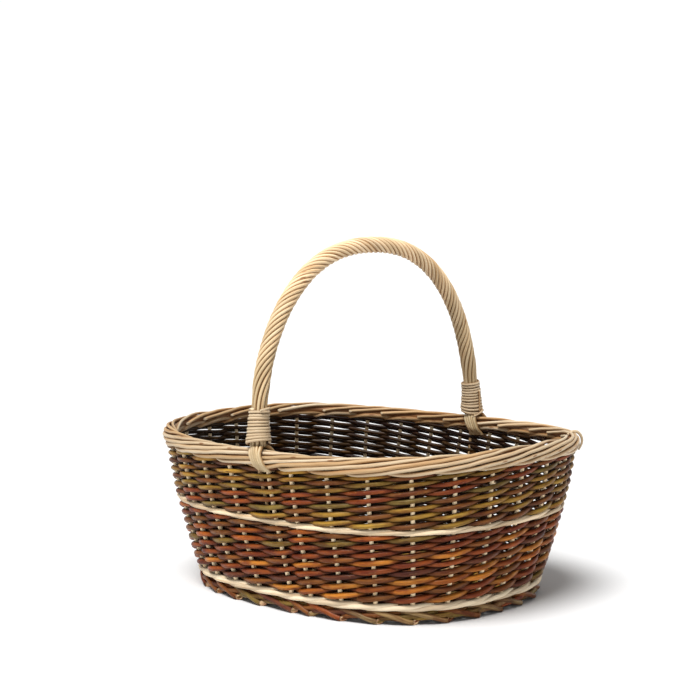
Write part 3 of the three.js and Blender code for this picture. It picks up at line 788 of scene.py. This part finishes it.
def make_foot():
    source = random.Random(61)
    for name, knots, radius, slant in FOOT_RODS:
        bundle = Bundle()
        for stake in range(STAKE_COUNT):
            path = smooth_path(knots, FOOT_STATIONS)
            seed = source.randrange(1 << 20)
            shift = source.uniform(-0.05, 0.05)
            height = path[:, 2] * MM + wobble(path[:, 0], 0.2 * MM, 2.0, seed)
            thick = radius * (1 + wobble(path[:, 0], 0.04, 1.1, seed + 1))
            height = np.maximum(height, thick + FLOOR_GAP)
            turn = stake_turn(stake + path[:, 0] + shift, height)
            points, outward = wall(turn, height, path[:, 1] * MM)
            shade = pick(FOOT_PALETTE, source)
            # painted shade on the rod's sides where it lies against its neighbours
            bundle.rod(points, outward, thick, shade, 12, BROWN_PITH, (0.5, slant), groove_shade=GROOVE_PAINTED_SHADE)
        finish_piece(bundle, name, FOOT_BARK, "foot_willow", "foot_border")


# -------------------------------------------------- base

BASE_ROWS = 32
SLATH_HALF_LENGTH = 84 * MM
SLATH_HALF_WIDTH = 3.5 * MM
BASE_WEAVER = 2.5 * MM
BASE_OVERRUN = 2.2       # rows that lie past the CAD's edge, up against the wall
BASE_STATIONS = 260
BASE_LAP = 8
BASE_STICK = 2.5 * MM
SLATH_END = 0.8          # share of the slath's half length where the long sticks begin to count
CROSS_PASS = 24 * MM     # how long a row takes to pass a cross stick, and a long one
LONG_PASS = 9 * MM
FAN_REACH = 70 * MM
STICK_STATIONS = 24


def base_level():
    low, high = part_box("base_weave")
    return (low.z + high.z) / 2


def base_ring(share, count):
    """Points of an oval row of the base: share 0 hugs the slath, 1 is the base's edge."""
    low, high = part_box("base_weave")
    angles = np.linspace(0, 2 * math.pi, count, endpoint=False)
    half_length = SLATH_HALF_LENGTH + (high.x - BASE_WEAVER - SLATH_HALF_LENGTH) * share
    half_width = SLATH_HALF_WIDTH + (high.y - BASE_WEAVER - SLATH_HALF_WIDTH) * share
    power = 2 / (2.2 + 0.4 * share)
    x = half_length * signed_power(np.cos(angles), power)
    y = half_width * signed_power(np.sin(angles), power)
    return x, y


def stick_boxes(kind, count):
    return [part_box(f"base_{kind}_stick_{i + 1}") for i in range(count)]


def spoke_phase(x, y, long_sticks, cross_sticks):
    """A count that goes up by one at every stick that a base row passes."""
    passed = np.zeros_like(x)
    upper = y > 0
    for low, high in cross_sticks:
        middle = (low.x + high.x) / 2
        passed += np.clip((middle - x) / CROSS_PASS + 0.5, 0, 1) * np.where(upper, 1, -1)
    slath_end = SLATH_HALF_LENGTH * SLATH_END
    ends = np.abs(x) > slath_end
    for low, high in long_sticks:
        middle = (low.y + high.y) / 2
        fan = 1 + 2.2 * np.clip((np.abs(x) - slath_end) / FAN_REACH, 0, 1)
        step = np.clip((y - middle * fan) / LONG_PASS + 0.5, 0, 1)
        passed += np.where(ends, np.where(x > 0, step, 1 - step), 0.0)
    return passed


def make_base():
    source = random.Random(71)
    long_sticks = stick_boxes("long", 3)
    cross_sticks = stick_boxes("cross", 5)
    level = base_level()
    bundle = Bundle()
    for row in range(BASE_ROWS):
        share = (row + 0.5) / (BASE_ROWS - BASE_OVERRUN)
        x, y = base_ring(share, BASE_STATIONS)
        lap = np.arange(BASE_STATIONS + BASE_LAP) % BASE_STATIONS
        x, y = x[lap], y[lap]
        swing = np.cos(math.pi * (spoke_phase(x, y, long_sticks, cross_sticks) + row))
        height = level + (2.4 * MM + BASE_WEAVER * 0.75) * signed_power(swing, 0.8)
        points = np.stack([x, y, height], -1)
        thick = BASE_WEAVER * (1.08 - 0.16 * np.linspace(0, 1, len(x)))
        bundle.rod(points, UP, thick, pick(BASE_PALETTE, source), 8, BROWN_PITH)
    finish_piece(bundle, "base_rows", BASE_BARK, "base_willow", "base_weave")
    bundle = Bundle()
    names = []
    for kind, sticks in (("long", long_sticks), ("cross", cross_sticks)):
        for i, (low, high) in enumerate(sticks):
            share = np.linspace(0, 1, STICK_STATIONS)
            points = np.tile((low + high) / 2, (STICK_STATIONS, 1))
            if kind == "long":
                points[:, 0] = low.x + (high.x - low.x) * share
                points[:, 1] *= 1 + 1.6 * np.clip(np.abs(share - 0.5) * 2 - 0.45, 0, 1)
            else:
                points[:, 1] = low.y + (high.y - low.y) * share
            swell = BASE_STICK * (1 - 0.25 * np.abs(share - 0.5) * 2)
            bundle.rod(points, UP, swell, varied(BUFF_TAN, source), 12)
            names.append(f"base_{kind}_stick_{i + 1}")
    finish_piece(bundle, "base_sticks", PEELED, "peeled_willow", *names)


# -------------------------------------------------- handle

WRAP_RODS = 10
WRAP_ROD = 1.86 * MM
WRAP_PIECES = 2
WRAP_SPACING = 2.6 * MM
TWIST_STATIONS = 150
TWIST_EASE = 0.10            # share of the hoop over which the twist sets in at each end
STRAIGHT_STATIONS = 4
BOW_RADIUS = 4.4 * MM
BINDING_ROD = 1.66 * MM
BINDING_TURNS = 10.6
BINDING_STATIONS = 440
SQUEEZED_RING = (6.9 * MM, 6.5 * MM, 6.35 * MM)      # foot, middle and top of a binding
HANDLE_FOOT_PAINTED_SHADE = np.array([0.88, 0.85, 0.73])      # painted shade: the handle is painted darker and browner at its feet
# painted light: the handle is painted much brighter at its top, where light falls from above
HANDLE_TOP_PAINTED_LIGHT = np.array([1.58, 1.52, 1.44])
BOW_STATIONS = 120
BOW_END_STATIONS = 16
BOW_END_DRIFT = 7 * MM       # the near end of the bow runs down beside the stake that stands aside


def foot_point(far_side, height, depth, aside):
    """A point of the wall at one of the handle's feet, and the wall's outward direction there."""
    point, outward = wall(FAR_TURN if far_side else NEAR_TURN, height, depth)
    step = 0.0 if far_side else NEAR_STEP
    return point + np.array([HOOP_OFFSET + aside + step, 0, 0]), outward


def tail_points(far_side, angle):
    """A wrapping rod's tail, from its tip below the border up to the binding."""
    outside = math.cos(angle) > 0
    side = 1 if outside else -1
    spread = math.sin(angle) if outside else math.sin(math.pi - angle)
    slot = round(math.asin(spread) / (2 * math.pi / WRAP_RODS))
    border_depth = side * (BORDER_THICKNESS / 2 + WRAP_ROD + 0.2 * MM)
    tuck_depth = side * (4.4 * MM + WRAP_ROD)
    ring_depth = WRAP_RING * math.cos(angle)
    tip, top = BORDER_BASE - 6 * MM, BORDER_BASE + BORDER_HEIGHT + 2.5 * MM
    places = [
        (tuck_depth * 0.45, tip),
        (tuck_depth * 0.95, BORDER_BASE - 2.2 * MM),
        (border_depth * 0.93, BORDER_BASE + 2.0 * MM),
        (border_depth, BORDER_BASE + BORDER_HEIGHT * 0.45),
        (border_depth, BORDER_BASE + BORDER_HEIGHT * 0.75),
        (ring_depth + (border_depth - ring_depth) * 0.8, top - 3.4 * MM),
        (ring_depth + (border_depth - ring_depth) * 0.4, top),
    ]
    points, aways = [], []
    for depth, height in places:
        down = (top - height) / (top - tip)
        aside = slot * TAIL_PITCH + TAIL_DRIFT * down + TAIL_STEP
        point, outward = foot_point(far_side, height, depth, aside)
        points.append(point)
        aways.append(outward * side)
    return points, aways


def dense(points, aways, spacing):
    """A smooth line through points that are far apart, with stations at an even spacing."""
    points, aways = np.asarray(points), np.asarray(aways)
    steps = np.linalg.norm(np.diff(points, axis=0), axis=1)
    at = np.concatenate([[0.0], np.cumsum(steps)])
    count = max(8, int(at[-1] / spacing))
    line = smooth_path(np.concatenate([at[:, None], points], 1), count)[:, 1:]
    even = np.linspace(0, at[-1], count)
    away = np.stack([np.interp(even, at, aways[:, k]) for k in range(3)], -1)
    return line, away


def bundle_ring(runs):
    """Radius of the ring of wrapping rods, which the bindings squeeze."""
    from_end = np.minimum(runs, HOOP_LENGTH - runs)
    marks = [BINDING_START, BINDING_START + BINDING_LENGTH * 0.5,
             BINDING_END, BINDING_END + 22 * MM]
    return np.interp(from_end, marks, [*SQUEEZED_RING, WRAP_RING])


def wrap_line(index):
    """Centre line of one wrapping rod, tail to tail, with the direction away from the bow."""
    start_angle = 2 * math.pi * index / WRAP_RODS
    points, aways = tail_points(False, start_angle)
    straight = BINDING_START - 1 * MM + np.linspace(0, 0.8, STRAIGHT_STATIONS) * BINDING_LENGTH
    twist_start = BINDING_END - 2 * MM
    share = np.linspace(0, 1, TWIST_STATIONS)
    ease = TWIST_EASE
    eased = np.where(share < ease, share ** 2 / (2 * ease), share - ease / 2)
    eased = np.where(share > 1 - ease, 1 - ease - (1 - share) ** 2 / (2 * ease), eased) / (1 - ease)
    runs = np.concatenate([
        straight,
        twist_start + share * (HOOP_LENGTH - 2 * twist_start),
        HOOP_LENGTH - straight[::-1],
    ])
    angles = np.concatenate([
        np.full(STRAIGHT_STATIONS, start_angle),
        start_angle + 2 * math.pi * WRAP_TURNS * eased,
        np.full(STRAIGHT_STATIONS, start_angle + 2 * math.pi * WRAP_TURNS),
    ])
    middle, away = hoop(runs, bundle_ring(runs), angles)
    far_points, far_aways = tail_points(True, start_angle)
    points = points + list(middle) + far_points[::-1]
    aways = aways + list(away) + far_aways[::-1]
    return dense(points, aways, WRAP_SPACING)


def make_wraps():
    source = random.Random(83)
    for part in range(WRAP_PIECES):
        bundle = Bundle()
        names = []
        for index in range(part, WRAP_RODS, WRAP_PIECES):
            line, away = wrap_line(index)
            along = np.linspace(0, 1, len(line))
            seed = source.randrange(1 << 20)
            thick = WRAP_ROD * source.uniform(0.92, 1.08) * (1 + wobble(along, 0.07, 0.3, seed))
            shade = varied(source.choice([BUFF, BUFF_PALE, BUFF, BUFF]), source, 0.05)
            arch = np.sin(math.pi * along)[:, None] ** 2
            # the wraps run from painted shade at the handle's feet to painted light at its top
            colours = np.asarray(shade) * (HANDLE_FOOT_PAINTED_SHADE * (1 - arch) + HANDLE_TOP_PAINTED_LIGHT * arch)
            # painted shade in the grooves between the wrapping rods
            bundle.rod(line, away, thick, colours, 12, PITH, (0.8, 0.8), groove_shade=SOFT_GROOVE_PAINTED_SHADE)
            names.append(f"handle_wrap_rod_{index + 1:02d}")
        finish_piece(bundle, f"handle_wraps_{part + 1}", PEELED, "peeled_willow", *names)


def make_bow():
    """The thick bow under the wrapping, with its shaved ends running down inside the wall."""
    bundle = Bundle()
    ends = []
    for far_side in (False, True):
        heights = np.linspace(UPPER_BASE + 4 * MM, BORDER_BASE + 4 * MM, BOW_END_STATIONS)
        drift = (heights[-1] - heights) / (heights[-1] - heights[0])
        points, _ = foot_point(far_side, heights, 0.0, 0.0)
        points[:, 0] += drift * (0.0 if far_side else BOW_END_DRIFT)
        ends.append(points)
    runs = np.linspace(BINDING_START, HOOP_LENGTH - BINDING_START, BOW_STATIONS)
    arch, _ = hoop(runs, 0.0, 0.0)
    line = np.concatenate([ends[0], arch, ends[1][::-1]])
    rising = np.linspace(1.3 * MM, 2.9 * MM, BOW_END_STATIONS)
    radii = np.concatenate([rising, np.full(BOW_STATIONS, BOW_RADIUS), rising[::-1]])
    bundle.rod(line, HOOP_SIDE, radii, BUFF_TAN, 12)
    finish_piece(bundle, "handle_bow_rod", PEELED, "peeled_willow", "handle_bow")


def make_binding(far_side, name, node):
    """The coil of thin willow round the handle's foot. Its lowest turn slants, and its ends and a
    loose strand stick out of it."""
    source = random.Random(97 + far_side)
    bundle = Bundle()

    def strand(runs, radius, angles, thick, shade, cut_slant):
        if far_side:
            runs, angles = HOOP_LENGTH - runs, -angles
        points, away = hoop(runs, radius, angles)
        # painted shade in the grooves between the coil's turns
        bundle.rod(points, away, thick, shade, 10, PITH, cut_slant, groove_shade=GROOVE_PAINTED_SHADE)

    share = np.linspace(0, 1, BINDING_STATIONS)
    turned = BINDING_TURNS * share
    runs = BINDING_START + BINDING_ROD * 0.8 + share * (BINDING_LENGTH - 2 * BINDING_ROD)
    angles = 2.4 + 2 * math.pi * turned
    tilt = (0.5 + 3.2 * (1 - share) ** 6) * MM * np.cos(angles - 1.2)
    runs = runs + tilt + wobble(turned, 0.30 * MM, 1.9, 8)
    swell = 1.9 * MM * (1 - share) ** 1.6 + wobble(turned, 0.35 * MM, 2.7, 5)
    radius = bundle_ring(runs) + WRAP_ROD + BINDING_ROD * 0.80 + swell
    thick = BINDING_ROD * (1 + wobble(turned, 0.09, 1.3, 9)) * (1.05 - 0.12 * share)
    strand(runs, radius, angles, thick, varied(BUFF, source, 0.05), (1.2, 1.2))

    outer = WRAP_RING + WRAP_ROD + 2.2 * BINDING_ROD
    along = np.linspace(0, 1, 24)
    tucked = BINDING_START + (3 - 7 * along) * MM
    strand(tucked, outer + (1.2 + 1.5 * along) * MM, 5.0 - 1.1 * along,
           BINDING_ROD * (1 - 0.45 * along), BUFF, (1.2, 1.6))
    loose = BINDING_START + (2 + 24 * along) * MM
    strand(loose, outer + (1.0 - 1.4 * along) * MM, 4.55 + 0.15 * along,
           0.95 * MM, BUFF_TAN, (0.8, 1.2))
    if not far_side:
        tip = BINDING_END + (-2.5 + 3.5 * along) * MM
        strand(tip, outer + (0.2 + 1.8 * along) * MM, 0.9 + 0.7 * along,
               1.15 * MM, BUFF, (0.8, 1.4))
    finish_piece(bundle, name, PEELED, "peeled_willow", node)


# -------------------------------------------------- stage

# The camera looks level-ish at the basket from its front right, aimed above it.
CAMERA_AZIMUTH = math.radians(42.1)
CAMERA_ELEVATION = math.radians(10.1)
CAMERA_DISTANCE = 1.908
CAMERA_AIM = Vector((0, 0, 0.1))
CAMERA_PAN = 0.010
CAMERA_TILT = 0.085
CAMERA_LENS = 88.0
SENSOR = 36.0
SUN_AZIMUTH = math.radians(12)
SUN_ELEVATION = math.radians(66)
SUN_SIZE = math.radians(30)
SUN_STRENGTH = 4.5


def direction(azimuth, elevation):
    """Unit vector towards an azimuth, turning right from the front, and an elevation."""
    return Vector((
        math.sin(azimuth) * math.cos(elevation),
        -math.cos(azimuth) * math.cos(elevation),
        math.sin(elevation),
    ))


def make_camera():
    """A camera turned a little up and left from the basket's middle, as the framing needs."""
    away = direction(CAMERA_AZIMUTH, CAMERA_ELEVATION)
    forward = -away
    right = forward.cross(Vector((0, 0, 1))).normalized()
    up = right.cross(forward)
    pan = Matrix.Rotation(CAMERA_PAN, 3, up)
    forward, right = pan @ forward, pan @ right
    tilt = Matrix.Rotation(CAMERA_TILT, 3, right)
    forward, up = tilt @ forward, tilt @ up
    data = bpy.data.cameras.new("camera")
    data.sensor_width = SENSOR
    data.lens = CAMERA_LENS
    camera = bpy.data.objects.new("camera", data)
    turned = Matrix((right, up, -forward)).transposed()
    camera.matrix_world = Matrix.Translation(CAMERA_AIM + away * CAMERA_DISTANCE) @ turned.to_4x4()
    bpy.context.scene.collection.objects.link(camera)
    bpy.context.scene.camera = camera


def make_sun():
    """The distant soft light."""
    data = bpy.data.lights.new("key", "SUN")
    data.angle = SUN_SIZE
    data.energy = SUN_STRENGTH
    light = bpy.data.objects.new("key", data)
    away = direction(SUN_AZIMUTH, SUN_ELEVATION)
    light.location = away * 3
    light.rotation_euler = away.to_track_quat("Z", "Y").to_euler()
    bpy.context.scene.collection.objects.link(light)


FLOOR_REACH = 60.0
FLOOR_GREY = 0.70
# The world is white round the horizon and dimmer overhead: height of the direction, strength.
WORLD_WHITE = (0.125, 1.03)
WORLD_DIM = (0.40, 0.34)


def make_stage():
    mesh = bpy.data.meshes.new("floor")
    far = FLOOR_REACH
    corners = [(-far, -far, 0), (far, -far, 0), (far, far, 0), (-far, far, 0)]
    mesh.from_pydata(corners, [], [(0, 1, 2, 3)])
    floor = bpy.data.objects.new("floor", mesh)
    n = Nodes("floor")
    n.shader.inputs["Base Color"].default_value = (FLOOR_GREY, FLOOR_GREY, FLOOR_GREY, 1)
    n.shader.inputs["Roughness"].default_value = 0.9
    mesh.materials.append(n.material)
    bpy.context.scene.collection.objects.link(floor)
    world = bpy.data.worlds.new("studio")
    bpy.context.scene.world = world
    world.use_nodes = True
    tree = world.node_tree
    background = tree.nodes["Background"]
    background.inputs["Color"].default_value = (1, 1, 1, 1)
    place = tree.nodes.new("ShaderNodeTexCoord")
    split = tree.nodes.new("ShaderNodeSeparateXYZ")
    fade = tree.nodes.new("ShaderNodeMapRange")
    for end, (height, strength) in (("Min", WORLD_WHITE), ("Max", WORLD_DIM)):
        fade.inputs[f"From {end}"].default_value = height
        fade.inputs[f"To {end}"].default_value = strength
    tree.links.new(place.outputs["Generated"], split.inputs[0])
    tree.links.new(split.outputs["Z"], fade.inputs["Value"])
    tree.links.new(fade.outputs[0], background.inputs["Strength"])
    make_sun()
    bpy.context.scene.view_settings.view_transform = "Standard"


make_upper_siding()
make_lower_siding()
make_wales()
make_stakes()
make_border()
make_foot()
make_base()
make_wraps()
make_bow()
make_binding(False, "handle_binding_near_coil", "handle_binding_near")
make_binding(True, "handle_binding_far_coil", "handle_binding_far")
make_camera()
make_stage()
